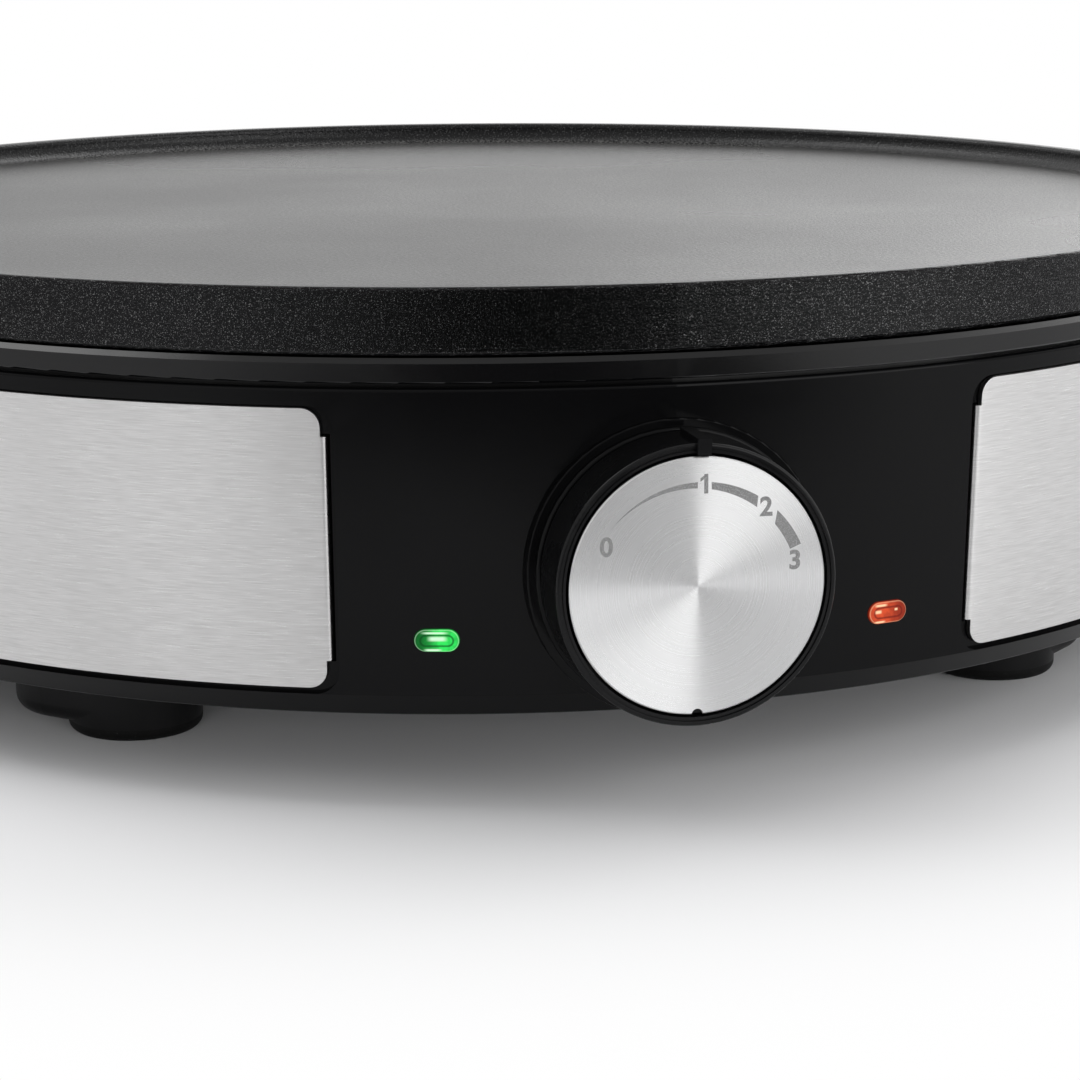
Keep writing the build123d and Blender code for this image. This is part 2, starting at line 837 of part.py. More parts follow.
def make_bottom_cover():
    cover = upright(cover_radius, cover_bottom, cover_top)
    for azimuth, side in foot_places().values():
        cover += turned(make_column(side), azimuth)
    for azimuth, side in foot_places().values():
        cover -= turned(make_column_hollow(side), azimuth)
    for azimuth in tower_azimuths:
        x, y = spot(tower_ring_radius, azimuth)
        cover -= upright(shank_radius + slide_gap, cover_bottom - 1, cover_top + 1, x, y)
    vent = SlotOverall(vent_length, vent_width)
    for row in (-1, 1):
        for index in range(vent_count):
            y = row * (vent_pitch * index + 2 * vent_pitch)
            cover -= extrude(Pos(0, y, cover_bottom - 1) * vent, cover_thickness + 2)
    for side in (-1, 1):
        x = side * block_screw_offset()
        cover += upright(tower_radius, cover_top - 1, cover_top + block_seat, x, block_distance)
        cover -= upright(
            shank_radius + shaft_fit, cover_top + block_seat - thread_depth + 1,
            cover_top + block_seat + 1, x, block_distance)
        x = side * clamp_pillar_spacing / 2
        cover += upright(tower_radius, cover_top - 1, gland_height, x, clamp_distance)
        cover -= upright(
            shank_radius + shaft_fit, gland_height - thread_depth, gland_height + 1, x, clamp_distance)
    return cover


def make_base_screws():
    fixing = screw(cover_thickness + thread_depth - 0.5)
    return gathered([
        Pos(*spot(tower_ring_radius, azimuth), cover_bottom) * fixing for azimuth in tower_azimuths
    ])


# Cord entry and terminals

def make_cord_gland():
    reach = wall_radius(gland_height)
    face = reach + gland_pad_rise
    inner_face = reach - wall
    gland = forward(gland_flange, face, face + gland_flange_thickness, 0, gland_height)
    gland = fillet(gland.edges().group_by(Axis.Y)[0], 1.2)
    gland += forward(gland_neck, inner_face - 5, face + 1, 0, gland_height)
    gland += forward(
        gland_neck + 1.4, inner_face - 3.4, inner_face - edge_gap, 0, gland_height)
    gland -= forward(gland_bore, inner_face - 20, face + 20, 0, gland_height)
    return turned(gland, 180)


def block_screw_offset():
    return block_length / 2 - tower_radius + 1


def make_terminal_block():
    low = cover_top + block_seat
    block = Pos(0, block_distance, low + block_height / 2) * Box(block_length, block_width, block_height)
    block = fillet(block.edges().filter_by(Axis.Z), 1.5)
    for x in lead_offsets():
        block -= Pos(x, block_distance, lead_level()) * Rot(90, 0, 0) * Cylinder(2.0, block_width + 2)
        block -= upright(1.8, lead_level(), low + block_height + 1, x, block_distance)
    for side in (-1, 1):
        x = side * block_screw_offset()
        block -= upright(shank_radius + slide_gap, low - 1, low + block_height + 1, x, block_distance)
    return block


def lead_offsets():
    """Places of the three wire ways across the terminal block."""
    return [-7.0, 0.0, 7.0]


def lead_level():
    return cover_top + block_seat + block_height * 0.4


def make_block_screws():
    low = cover_top + block_seat
    fixing = Rot(180, 0, 0) * screw(block_height + thread_depth - 2)
    return gathered([
        Pos(side * block_screw_offset(), block_distance, low + block_height) * fixing for side in (-1, 1)
    ])


def make_cord_clamp():
    length = clamp_pillar_spacing + 2 * tower_radius
    bar = Pos(0, clamp_distance, gland_height + clamp_thickness / 2) * Box(length, 9, clamp_thickness)
    bar = fillet(bar.edges().filter_by(Axis.Z), 2.0)
    bar -= Pos(0, clamp_distance, gland_height) * Rot(90, 0, 0) * Cylinder(gland_bore - 1.2, 12)
    for side in (-1, 1):
        bar -= upright(shank_radius + slide_gap, gland_height - 1, gland_height + clamp_thickness + 1,
                       side * clamp_pillar_spacing / 2, clamp_distance)
    return bar


def make_cord_clamp_screws():
    fixing = Rot(180, 0, 0) * screw(clamp_thickness + thread_depth - 0.5)
    top = gland_height + clamp_thickness
    return gathered([
        Pos(side * clamp_pillar_spacing / 2, clamp_distance, top) * fixing for side in (-1, 1)
    ])


# Thermal fuse and internal leads

def fuse_level():
    return reflector_level - fuse_radius - shaft_fit


def fuse_bar(radius, length):
    return Pos(fuse_offset, 0, fuse_level()) * Rot(90, 0, 0) * Cylinder(radius, length)


def make_thermal_fuse():
    fuse = fuse_bar(fuse_radius, fuse_length)
    return fillet(fuse.edges().filter_by(GeomType.CIRCLE), 0.5)


def make_fuse_clip():
    """Saddle of sheet that holds the fuse up against the reflector."""
    length = fuse_length * 0.5
    outer = fuse_radius + slide_gap + fuse_clip_sheet
    clip = fuse_bar(outer, length)
    ears = Box(2 * (outer + fuse_clip_ear), length, fuse_clip_sheet)
    clip += Pos(fuse_offset, 0, reflector_level - fuse_clip_sheet / 2) * ears
    clip -= fuse_bar(fuse_radius + slide_gap, length + 1)
    clip -= Pos(fuse_offset, 0, reflector_level + outer) * Box(4 * outer, length + 1, 2 * outer)
    return clip.solids().sort_by(SortBy.VOLUME)[-1]


def block_end(offset):
    """Front end of one of the terminal block's wire ways."""
    return offset, block_distance - block_width / 2, lead_level()


def pin_end(side):
    """Lower end of one of the element's cold pins."""
    x, y = element_pin_spot(side)
    return x, y, element_level - element_bend - element_tail - pin_length


def make_supply_lead():
    start = block_end(lead_offsets()[0])
    end = tab_end(1)
    low = cover_top + supply_height
    return tube_along(
        [start, (start[0], start[1] - block_run, start[2]), (-supply_side, supply_turn, low),
         (-supply_side, -supply_turn, low), (0, end[1] + tab_turn, low + 2),
         (end[0], end[1] + tab_run, end[2]), end],
        supply_bends, lead_radius)


def make_switched_lead():
    start = tab_end(-1)
    end = pin_end(-1)
    low = end[2] - 10
    return tube_along(
        [start, (start[0], start[1] + 8, start[2]), (start[0] - 2, start[1] + 8, low),
         (end[0], end[1], low), end],
        [3.5, 3.5, 4.0], lead_radius)


def make_neutral_lead():
    start = block_end(lead_offsets()[2])
    end = (fuse_offset, fuse_length / 2, fuse_level())
    return tube_along(
        [start, (start[0], start[1] - block_run, start[2]), (end[0], end[1] + 44, end[2] - 22),
         (end[0], end[1] + 18, end[2]), end],
        [16.0, 18.0, 12.0], lead_radius)


def make_fuse_lead():
    start = (fuse_offset, -fuse_length / 2, fuse_level())
    end = pin_end(1)
    low = end[2] - 11
    return tube_along(
        [start, (start[0], start[1] - 18, start[2]), (28, -70, low + 2), (end[0], end[1], low), end],
        [16.0, 16.0, 4.5], lead_radius)


# Whole object, moved so that its plan outline is centred on the origin

def reach_behind():
    return wall_radius(gland_height) + gland_pad_rise + gland_flange_thickness


axis_y = (ring_front + pointer_proud - reach_behind()) / 2

nodes = {
    "baking_plate": make_baking_plate(),
    "heating_element": make_heating_element(),
    "element_clamps": make_element_clamps(),
    "element_clamp_screws": make_strap_screws(element_boss_spots()),
    "plate_screws": make_plate_screws(),
    "upper_ring": make_upper_ring(),
    "heat_reflector": make_heat_reflector(),
    "reflector_screws": make_reflector_screws(),
    "main_housing": make_main_housing(),
    "right_panel": make_right_panel(),
    "left_panel": mirror(make_right_panel(), Plane.YZ),
    "knob_ring": make_knob_ring(),
    "knob_spring": make_knob_spring(),
    "thermostat_spindle": make_thermostat_spindle(),
    "dial_disc": make_dial_disc(),
    "dial_carrier": make_dial_carrier(),
    "thermostat_faceplate": make_thermostat_faceplate(),
    "thermostat_bush": make_thermostat_bush(),
    "thermostat_body": make_thermostat_body(),
    "thermostat_screws": make_thermostat_screws(),
    "sensing_bulb": make_sensing_bulb(),
    "bulb_clip": make_bulb_clip(),
    "bulb_clip_screws": make_strap_screws(bulb_boss_spots()),
    "capillary_tube": make_capillary(),
    "power_lamp_lens": make_lens(-lamp_azimuth),
    "ready_lamp_lens": make_lens(lamp_azimuth),
    "power_neon_lamp": make_neon_lamp(-lamp_azimuth),
    "ready_neon_lamp": make_neon_lamp(lamp_azimuth),
    "bottom_cover": make_bottom_cover(),
    "base_screws": make_base_screws(),
    "cord_gland": make_cord_gland(),
    "terminal_block": make_terminal_block(),
    "block_screws": make_block_screws(),
    "cord_clamp": make_cord_clamp(),
    "cord_clamp_screws": make_cord_clamp_screws(),
    "thermal_fuse": make_thermal_fuse(),
    "fuse_clip": make_fuse_clip(),
    "supply_lead": make_supply_lead(),
    "switched_lead": make_switched_lead(),
    "neutral_lead": make_neutral_lead(),
    "fuse_lead": make_fuse_lead(),
}
for place, (azimuth, side) in foot_places().items():
    nodes[place + "_foot_pad"] = make_foot_pad(azimuth)

os.makedirs("parts", exist_ok=True)
for name, shape in nodes.items():
    export_step(Pos(0, axis_y, 0) * shape, "parts/" + name + ".step")
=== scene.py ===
from math import cos, pi, radians, sin, sqrt, tan

import bmesh
import bpy
from mathutils import Matrix, Vector


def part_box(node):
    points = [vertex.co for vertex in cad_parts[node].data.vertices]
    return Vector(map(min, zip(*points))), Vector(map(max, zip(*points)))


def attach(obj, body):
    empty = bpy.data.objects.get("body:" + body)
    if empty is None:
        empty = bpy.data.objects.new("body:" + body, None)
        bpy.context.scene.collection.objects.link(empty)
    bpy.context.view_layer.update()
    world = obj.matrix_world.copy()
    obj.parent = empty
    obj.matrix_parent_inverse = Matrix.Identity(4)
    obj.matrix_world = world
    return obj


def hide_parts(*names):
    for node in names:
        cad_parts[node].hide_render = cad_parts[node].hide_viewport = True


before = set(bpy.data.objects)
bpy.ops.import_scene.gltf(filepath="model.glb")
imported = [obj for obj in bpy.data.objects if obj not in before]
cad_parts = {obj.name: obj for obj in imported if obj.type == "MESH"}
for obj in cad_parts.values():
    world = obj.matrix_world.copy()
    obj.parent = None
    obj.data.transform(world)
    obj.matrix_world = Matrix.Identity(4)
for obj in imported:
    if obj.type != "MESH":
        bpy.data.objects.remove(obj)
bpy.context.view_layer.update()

# Table top: a pale matt sheet that carries the maker's soft shadow and runs out into the
# plain white of the room. The maker's gloss mirrors the white behind it, a dark cloth on
# the table in front and a white card to the right of that.

table_size = 16.0
table_colour = (0.80, 0.80, 0.81)
table_roughness = 0.65
table_gloss = 0.2
pure_white = (1, 1, 1, 1)
shadow_reach = 0.145
white_reach = 0.258
cloth_strength = 0.03
card_strength = 1.15

# Where along the table each of these fades in, from nothing to all.
white_back = (-0.10, 0.15)
cloth_front = (-0.40, -0.28)
cloth_left = (-0.50, -0.18)
card_left = (0.18, 0.30)


def clear_selection():
    if bpy.context.object and bpy.context.object.mode != "OBJECT":
        bpy.ops.object.mode_set(mode="OBJECT")
    bpy.ops.object.select_all(action="DESELECT")


def add(tree, kind, inputs=None, **settings):
    """Adds a shader node; an input that is a socket is linked, and any other is set."""
    made = tree.nodes.new(kind)
    for name, value in settings.items():
        setattr(made, name, value)
    for socket, value in (inputs or {}).items():
        if isinstance(value, bpy.types.NodeSocket):
            tree.links.new(value, made.inputs[socket])
        else:
            made.inputs[socket].default_value = value
    return made


def maths(tree, operation, *values):
    return add(tree, "ShaderNodeMath", dict(enumerate(values)), operation=operation).outputs[0]


def between(tree, value, low, high, at_low=0.0, at_high=1.0):
    """Turns a value that runs from low to high into one that eases from at_low to at_high."""
    inputs = {0: value, 1: low, 2: high, 3: at_low, 4: at_high}
    return add(tree, "ShaderNodeMapRange", inputs, interpolation_type="SMOOTHSTEP").outputs[0]


def backdrop_seen(tree, mirrored):
    """1 for a camera ray or one through glass, and the share given for a mirrored one."""
    path = add(tree, "ShaderNodeLightPath").outputs
    seen = maths(tree, "MAXIMUM", path["Is Camera Ray"], path["Is Transmission Ray"])
    return maths(tree, "MAXIMUM", seen, maths(tree, "MULTIPLY", path["Is Glossy Ray"], mirrored))


clear_selection()
bpy.ops.mesh.primitive_plane_add(size=table_size)
table = bpy.context.object
table.name = "table_top"

table_finish = bpy.data.materials.new("table_finish")
table_finish.use_nodes = True
tree = table_finish.node_tree
sheet = tree.nodes["Principled BSDF"]
sheet.inputs["Base Color"].default_value = (*table_colour, 1)
sheet.inputs["Roughness"].default_value = table_roughness
sheet.inputs["Specular IOR Level"].default_value = table_gloss
place = add(tree, "ShaderNodeTexCoord").outputs["Object"]
distance = add(tree, "ShaderNodeVectorMath", {0: place}, operation="LENGTH").outputs["Value"]
fade = between(tree, distance, shadow_reach, white_reach)
white = add(tree, "ShaderNodeEmission", {"Color": pure_white, "Strength": 1.0}).outputs[0]
spot = add(tree, "ShaderNodeSeparateXYZ", {0: place}).outputs
behind = between(tree, spot["Y"], *white_back)
share = maths(tree, "MULTIPLY", fade, backdrop_seen(tree, behind))
run_out = add(tree, "ShaderNodeMixShader", {0: share, 1: sheet.outputs[0], 2: white}).outputs[0]
shine = between(tree, spot["X"], *card_left, cloth_strength, card_strength)
cloth = add(tree, "ShaderNodeEmission", {"Color": pure_white, "Strength": shine}).outputs[0]
front = between(tree, spot["Y"], *cloth_front, 1.0, 0.0)
middle = between(tree, spot["X"], *cloth_left)
mirrored = add(tree, "ShaderNodeLightPath").outputs["Is Glossy Ray"]
share = maths(tree, "MULTIPLY", mirrored, maths(tree, "MULTIPLY", front, middle))
surface = add(tree, "ShaderNodeMixShader", {0: share, 1: run_out, 2: cloth}).outputs[0]
tree.links.new(surface, tree.nodes["Material Output"].inputs["Surface"])
table.data.materials.append(table_finish)

# Room: a white studio wall stands behind the maker and pale ones at its sides, and the
# side that the camera stands on is dark. It fills the shadows evenly from all round.

fill_strength = 0.60
front_strength = 0.05
side_strength = 0.70
rear_strength = 1.05
right_strength = 1.95

# How far a direction leans to the rear, or to the right, while one wall turns into the next.
front_to_side = (-0.92, -0.62)
side_to_rear = (-0.20, 0.30)
rear_to_right = (0.20, 0.52)

room = bpy.data.worlds.new("studio_room")
bpy.context.scene.world = room
room.use_nodes = True
tree = room.node_tree
direction = add(tree, "ShaderNodeTexCoord").outputs["Generated"]
facing = add(tree, "ShaderNodeSeparateXYZ", {0: direction}).outputs
sides = between(tree, facing["Y"], *front_to_side, front_strength, side_strength)
rear = between(tree, facing["X"], *rear_to_right, rear_strength, right_strength)
walls = between(tree, facing["Y"], *side_to_rear, sides, rear)
mirrored = add(tree, "ShaderNodeLightPath").outputs["Is Glossy Ray"]
walls = between(tree, mirrored, 0.0, 1.0, 1.0, walls)
strength = between(tree, backdrop_seen(tree, 1.0), 0.0, 1.0, fill_strength, walls)
backdrop = tree.nodes["Background"]
backdrop.inputs["Color"].default_value = pure_white
tree.links.new(strength, backdrop.inputs["Strength"])

# Lamps: large soft boxes high behind the maker on both sides throw its shadow forwards, and
# two fill in from the front. A bright and a dim flag show in its gloss alone: they meet in
# an upright edge just where the turned dial mirrors the camera.

# Each lamp: its place, its aim, its width, height and power, and the rays it is hidden from.
lamps = {
    "left_soft_box": ((-0.66, 0.36, 0.98), (0, 0, 0.06), 0.80, 0.70, 5.5, None),
    "right_soft_box": ((0.75, 0.62, 0.95), (0, 0, 0.06), 0.90, 0.80, 5.5, None),
    "front_soft_box": ((0.92, -1.00, 0.52), (0, -0.16, 0.04), 0.90, 1.00, 7.0, "glossy"),
    "dial_flag": ((1.13, -1.20, 0.62), (1.13, 0, 0.62), 1.64, 1.10, 12.5, "diffuse"),
    "dim_flag": ((-0.90, -1.20, 0.62), (-0.90, 0, 0.62), 2.42, 1.10, 2.7, "diffuse"),
    "front_fill": ((-0.10, -1.30, 0.22), (0, 0, 0.02), 1.60, 0.35, 8.0, "glossy"),
}

for name, (place, aim, width, height, power, hidden_from) in lamps.items():
    clear_selection()
    bpy.ops.object.light_add(type="AREA", location=place)
    lamp = bpy.context.object
    lamp.name = name
    lamp.data.shape = "RECTANGLE"
    lamp.data.size = width
    lamp.data.size_y = height
    lamp.data.energy = power
    lamp.rotation_euler = (Vector(aim) - Vector(place)).to_track_quat("-Z", "Y").to_euler()
    if hidden_from:
        setattr(lamp, "visible_" + hidden_from, False)

# Camera: a long lens, a little above the plate and to the left of the knob, that takes in
# the maker from its far rim to its front feet.

view_place = (-0.1211, -0.5813, 0.1453)
view_heading = (0.2171, 0.9509, -0.2206)
view_roll = radians(-0.354)
view_lens = 98.2
view_film = 36.0
view_near = 0.01

clear_selection()
bpy.ops.object.camera_add(location=view_place)
camera = bpy.context.object
camera.name = "view_camera"
camera.data.lens = view_lens
camera.data.sensor_width = view_film
camera.data.clip_start = view_near
level = Vector(view_heading).to_track_quat("-Z", "Y").to_matrix()
camera.rotation_euler = (level @ Matrix.Rotation(view_roll, 3, "Z")).to_euler()
bpy.context.scene.camera = camera
bpy.context.scene.view_settings.view_transform = "Standard"

# Baking plate: one aluminium casting with a low rim. Its band is turned and sparkles, and
# its top is sprayed with a dark non-stick coat. The top is lightened in clouds: partly wear that
# batter and scraper leave, partly a painted sheen in place of the room's glancing reflection.

coat_colour = (0.0045, 0.0045, 0.0048)
wear_and_sheen_colour = (0.090, 0.089, 0.087)
band_colour = (0.016, 0.016, 0.0165)
fleck_colour = (0.30, 0.30, 0.30)
plate_low, plate_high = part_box("baking_plate")
axis_y = (plate_low.y + plate_high.y) / 2
plate_radius = (plate_high.x - plate_low.x) / 2
cooking_radius = plate_radius - 0.0055
wear_and_sheen_edge = cooking_radius + 0.002
band_inside = plate_radius - 0.0003
band_outside = plate_radius - 0.0001
least_wear_and_sheen = 0.4
pebble_tops = (0.40, 0.60)
top_flecks = 0.12
band_flecks = 0.80
top_roughness = (0.33, 0.26)
band_roughness = 0.22
pebble_relief = 2.6
turning_relief = 0.5
coat_relief = 1.6


def start_effect(name, inputs, outputs):
    """An empty shader group of number sockets: its tree, its inputs and its output node."""
    group = bpy.data.node_groups.new(name, "ShaderNodeTree")
    for label, value in inputs.items():
        socket = group.interface.new_socket(label, in_out="INPUT", socket_type="NodeSocketFloat")
        socket.default_value = value
    for label in outputs:
        group.interface.new_socket(label, in_out="OUTPUT", socket_type="NodeSocketFloat")
    return group, group.nodes.new("NodeGroupInput").outputs, group.nodes.new("NodeGroupOutput")


def apply_effect(tree, group, **values):
    made = add(tree, "ShaderNodeGroup", node_tree=group)
    for label, value in values.items():
        made.inputs[label].default_value = value
    return made.outputs


def start_finish(name, colour, roughness, metallic=0.0, **plain):
    """A material whose even values sit on the shader's own sockets."""
    finish = bpy.data.materials.new(name)
    finish.use_nodes = True
    shader = finish.node_tree.nodes["Principled BSDF"]
    shader.inputs["Base Color"].default_value = (*colour, 1)
    shader.inputs["Roughness"].default_value = roughness
    shader.inputs["Metallic"].default_value = metallic
    for label, value in plain.items():
        shader.inputs[label.replace("_", " ")].default_value = value
    return finish, finish.node_tree, shader


def blend(tree, share, first, second):
    """A colour that runs from the first to the second; each is a colour or a socket."""
    ends = [end if isinstance(end, bpy.types.NodeSocket) else (*end, 1) for end in (first, second)]
    inputs = {0: share, 6: ends[0], 7: ends[1]}
    return add(tree, "ShaderNodeMix", inputs, data_type="RGBA").outputs[2]


def vary_colour(tree, shader, share, first, second):
    """Lets the colour run from the first to the second as a share goes from 0 to 1."""
    tree.links.new(blend(tree, share, first, second), shader.inputs["Base Color"])


def vary_roughness(tree, shader, share, first, second, low=0.0, high=1.0):
    """Lets the roughness run from the first to the second as a share goes from low to high."""
    tree.links.new(between(tree, share, low, high, first, second), shader.inputs["Roughness"])


def emboss(tree, shader, height, depth, strength):
    """Gives the surface relief: a height of 0 to 1 stands for a depth in metres."""
    inputs = {"Height": height, "Distance": depth, "Strength": strength}
    relief = add(tree, "ShaderNodeBump", inputs)
    tree.links.new(relief.outputs[0], shader.inputs["Normal"])


def from_middle(tree, middle):
    """Where a point of the surface lies from a middle."""
    place = add(tree, "ShaderNodeTexCoord").outputs["Object"]
    return add(tree, "ShaderNodeVectorMath", {0: place, 1: middle}, operation="SUBTRACT").outputs[0]


def keep_only(tree, offset, directions):
    return add(tree, "ShaderNodeVectorMath", {0: offset, 1: directions},
               operation="MULTIPLY").outputs[0]


def length_of(tree, offset):
    return add(tree, "ShaderNodeVectorMath", {0: offset}, operation="LENGTH").outputs["Value"]


def finish_nodes(finish, *names):
    """Gives CAD nodes that are kept as they are their finish."""
    for name in names:
        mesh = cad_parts[name].data
        mesh.materials.clear()
        mesh.materials.append(finish)


# Grain: fine pebbled texture, with a mask of the few grains that stand out as flecks.
fleck_edge = 0.09
grain_effect, given, result = start_effect(
    "grain", {"Scale": 1500.0, "Flecks": 0.62}, ["Grain", "Flecks"])
place = add(grain_effect, "ShaderNodeTexCoord").outputs["Object"]
noise = add(grain_effect, "ShaderNodeTexNoise",
            {"Vector": place, "Scale": given["Scale"], "Detail": 2.0}).outputs[0]
top = maths(grain_effect, "ADD", given["Flecks"], fleck_edge)
grain_effect.links.new(noise, result.inputs["Grain"])
grain_effect.links.new(between(grain_effect, noise, given["Flecks"], top), result.inputs["Flecks"])

# Clouding: broad soft patches that handling, heat and wiping leave on a surface.
cloud_effect, given, result = start_effect(
    "clouding", {"Scale": 12.0, "Low": 0.40, "High": 0.65, "Warp": 0.6}, ["Clouds"])
place = add(cloud_effect, "ShaderNodeTexCoord").outputs["Object"]
noise = add(cloud_effect, "ShaderNodeTexNoise",
            {"Vector": place, "Scale": given["Scale"], "Detail": 4.0,
             "Distortion": given["Warp"]}).outputs[0]
cloud_effect.links.new(
    between(cloud_effect, noise, given["Low"], given["High"]), result.inputs["Clouds"])

# Brushing: fine lines that run level round the maker, as a belt or a lathe tool leaves them.
brush_effect, given, result = start_effect(
    "brushing", {"Along": 60.0, "Across": 3500.0}, ["Lines"])
place = add(brush_effect, "ShaderNodeTexCoord").outputs["Object"]
stretch = add(brush_effect, "ShaderNodeCombineXYZ",
              {0: given["Along"], 1: given["Along"], 2: given["Across"]}).outputs[0]
drawn = add(brush_effect, "ShaderNodeVectorMath", {0: place, 1: stretch}, operation="MULTIPLY")
noise = add(brush_effect, "ShaderNodeTexNoise",
            {"Vector": drawn.outputs[0], "Scale": 1.0, "Detail": 3.0}).outputs[0]
brush_effect.links.new(noise, result.inputs["Lines"])

coating, tree, shader = start_finish(
    "nonstick_coat", coat_colour, roughness=0.42, Specular_IOR_Level=0.25)
level_offset = keep_only(tree, from_middle(tree, (0, axis_y, 0)), (1, 1, 0))
reach = length_of(tree, level_offset)
wear_and_sheen_area = between(tree, reach, cooking_radius, wear_and_sheen_edge, 1.0, 0.0)
turned = between(tree, reach, band_inside, band_outside)
grain = apply_effect(tree, grain_effect, Scale=2600.0, Flecks=0.58)
glitter = apply_effect(tree, grain_effect, Scale=6200.0, Flecks=0.60)["Flecks"]
clouds = apply_effect(tree, cloud_effect, Scale=7.0, Low=0.25, High=0.75, Warp=0.2)["Clouds"]
turning = apply_effect(tree, brush_effect, Along=3.0, Across=2600.0)["Lines"]
pebbles = apply_effect(tree, grain_effect, Scale=1700.0)["Grain"]
# Painted sheen and real wear together: the top's cloudy lighter grey stands in for the room's
# glancing reflection as well as for wear.
wear_and_sheen = maths(tree, "MULTIPLY", between(tree, clouds, 0.0, 1.0, least_wear_and_sheen, 1.0),
             between(tree, pebbles, *pebble_tops))
ground = blend(tree, maths(tree, "MULTIPLY", wear_and_sheen_area, wear_and_sheen), coat_colour, wear_and_sheen_colour)
ground = blend(tree, turned, ground, band_colour)
flecks = between(tree, turned, 0.0, 1.0, maths(tree, "MULTIPLY", grain["Flecks"], top_flecks),
                 maths(tree, "MULTIPLY", glitter, band_flecks))
vary_colour(tree, shader, flecks, ground, fleck_colour)
tree.links.new(turned, shader.inputs["Metallic"])
polish = between(tree, clouds, 0.0, 1.0, *top_roughness)
vary_roughness(tree, shader, turned, polish, band_roughness)
relief = between(tree, turned, 0.0, 1.0, maths(tree, "MULTIPLY", pebbles, pebble_relief),
                 grain["Grain"])
relief = maths(tree, "ADD", relief, maths(tree, "MULTIPLY", turning, turning_relief))
relief = maths(tree, "MULTIPLY", relief, coat_relief)
emboss(tree, shader, relief, depth=0.00004, strength=0.8)
finish_nodes(coating, "baking_plate")

# Heating gear under the plate: a tube element clamped to its underside, a dished sheet
# reflector below it and the thermostat's sensing bulb in a clip, all with small screws.

element_steel, tree, shader = start_finish(
    "element_sheath", (0.22, 0.20, 0.18), roughness=0.42, metallic=1.0)
clouds = apply_effect(tree, cloud_effect, Scale=45.0)["Clouds"]
vary_colour(tree, shader, clouds, (0.20, 0.19, 0.18), (0.30, 0.22, 0.15))
grain = apply_effect(tree, grain_effect, Scale=2400.0)["Grain"]
emboss(tree, shader, grain, depth=0.00003, strength=0.6)
finish_nodes(element_steel, "heating_element")

aluminised, tree, shader = start_finish(
    "aluminised_sheet", (0.62, 0.62, 0.63), roughness=0.38, metallic=1.0)
clouds = apply_effect(tree, cloud_effect, Scale=30.0)["Clouds"]
vary_colour(tree, shader, clouds, (0.66, 0.66, 0.67), (0.50, 0.49, 0.47))
vary_roughness(tree, shader, clouds, 0.32, 0.50)
finish_nodes(aluminised, "heat_reflector", "fuse_clip")

zinc, tree, shader = start_finish("zinc_plate", (0.60, 0.61, 0.62), roughness=0.33, metallic=1.0)
clouds = apply_effect(tree, cloud_effect, Scale=220.0)["Clouds"]
vary_colour(tree, shader, clouds, (0.66, 0.67, 0.68), (0.50, 0.50, 0.49))
lines = apply_effect(tree, brush_effect, Along=900.0, Across=5000.0)["Lines"]
emboss(tree, shader, lines, depth=0.00001, strength=0.5)
finish_nodes(zinc, "element_clamps", "element_clamp_screws", "plate_screws", "reflector_screws",
             "bulb_clip", "bulb_clip_screws")

copper, tree, shader = start_finish(
    "drawn_copper", (0.72, 0.36, 0.22), roughness=0.34, metallic=1.0)
clouds = apply_effect(tree, cloud_effect, Scale=90.0)["Clouds"]
vary_colour(tree, shader, clouds, (0.76, 0.40, 0.25), (0.45, 0.22, 0.14))
finish_nodes(copper, "sensing_bulb", "capillary_tube")

# Upper ring: a moulded black collar that the plate sits over. It is left satin from
# the tool, and its chamfered edge catches a thin line of light.

satin, tree, shader = start_finish(
    "satin_black_plastic", (0.0015, 0.0015, 0.0017), roughness=0.20, Specular_IOR_Level=0.36)
clouds = apply_effect(tree, cloud_effect, Scale=26.0)["Clouds"]
vary_roughness(tree, shader, clouds, 0.16, 0.24)
grain = apply_effect(tree, grain_effect, Scale=2600.0)["Grain"]
emboss(tree, shader, grain, depth=0.00001, strength=0.4)
finish_nodes(satin, "upper_ring")

# Housing: one deep glossy black moulding, with a boss for the knob, two windows for the
# side panels and seats for the lamps and the cord. Wiping leaves it very faintly hazed.

gloss, tree, shader = start_finish(
    "glossy_black_plastic", (0.0022, 0.0022, 0.0024), roughness=0.14, Specular_IOR_Level=0.11)
clouds = apply_effect(tree, cloud_effect, Scale=17.0)["Clouds"]
vary_roughness(tree, shader, clouds, 0.12, 0.20)
ripple = apply_effect(tree, cloud_effect, Scale=60.0, Low=0.0, High=1.0, Warp=0.0)["Clouds"]
emboss(tree, shader, ripple, depth=0.00003, strength=0.15)
finish_nodes(gloss, "main_housing")

# Side panels: brushed stainless sheet, bent round the housing and let into its windows.
# The ends are folded into slots between small corner reliefs.

steel_light = (0.71, 0.705, 0.70)
steel_dark = (0.57, 0.565, 0.56)
broad_lines = 0.15
haze_dulling = 0.72
panel_start = radians(20.6)
panel_end = radians(80.0)
panel_thickness = 0.00095
panel_strips = 96
corner_radius = 0.0030
corner_steps = 8
fold_radius = 0.0010
fold_steps = 5
lip_depth = 0.0052
lip_relief = 0.0045
edge_round = 0.00012
sharp_angle = radians(40)
smooth_angle = radians(32)
wall_draft = radians(2.0)
wall_foot = 0.0197
wall_foot_radius = 0.1505
near_enough = 1e-5


def edit(piece):
    """Opens a piece for editing with nothing selected in it."""
    clear_selection()
    piece.select_set(True)
    bpy.context.view_layer.objects.active = piece
    bpy.ops.object.mode_set(mode="EDIT")
    bpy.ops.mesh.select_all(action="DESELECT")


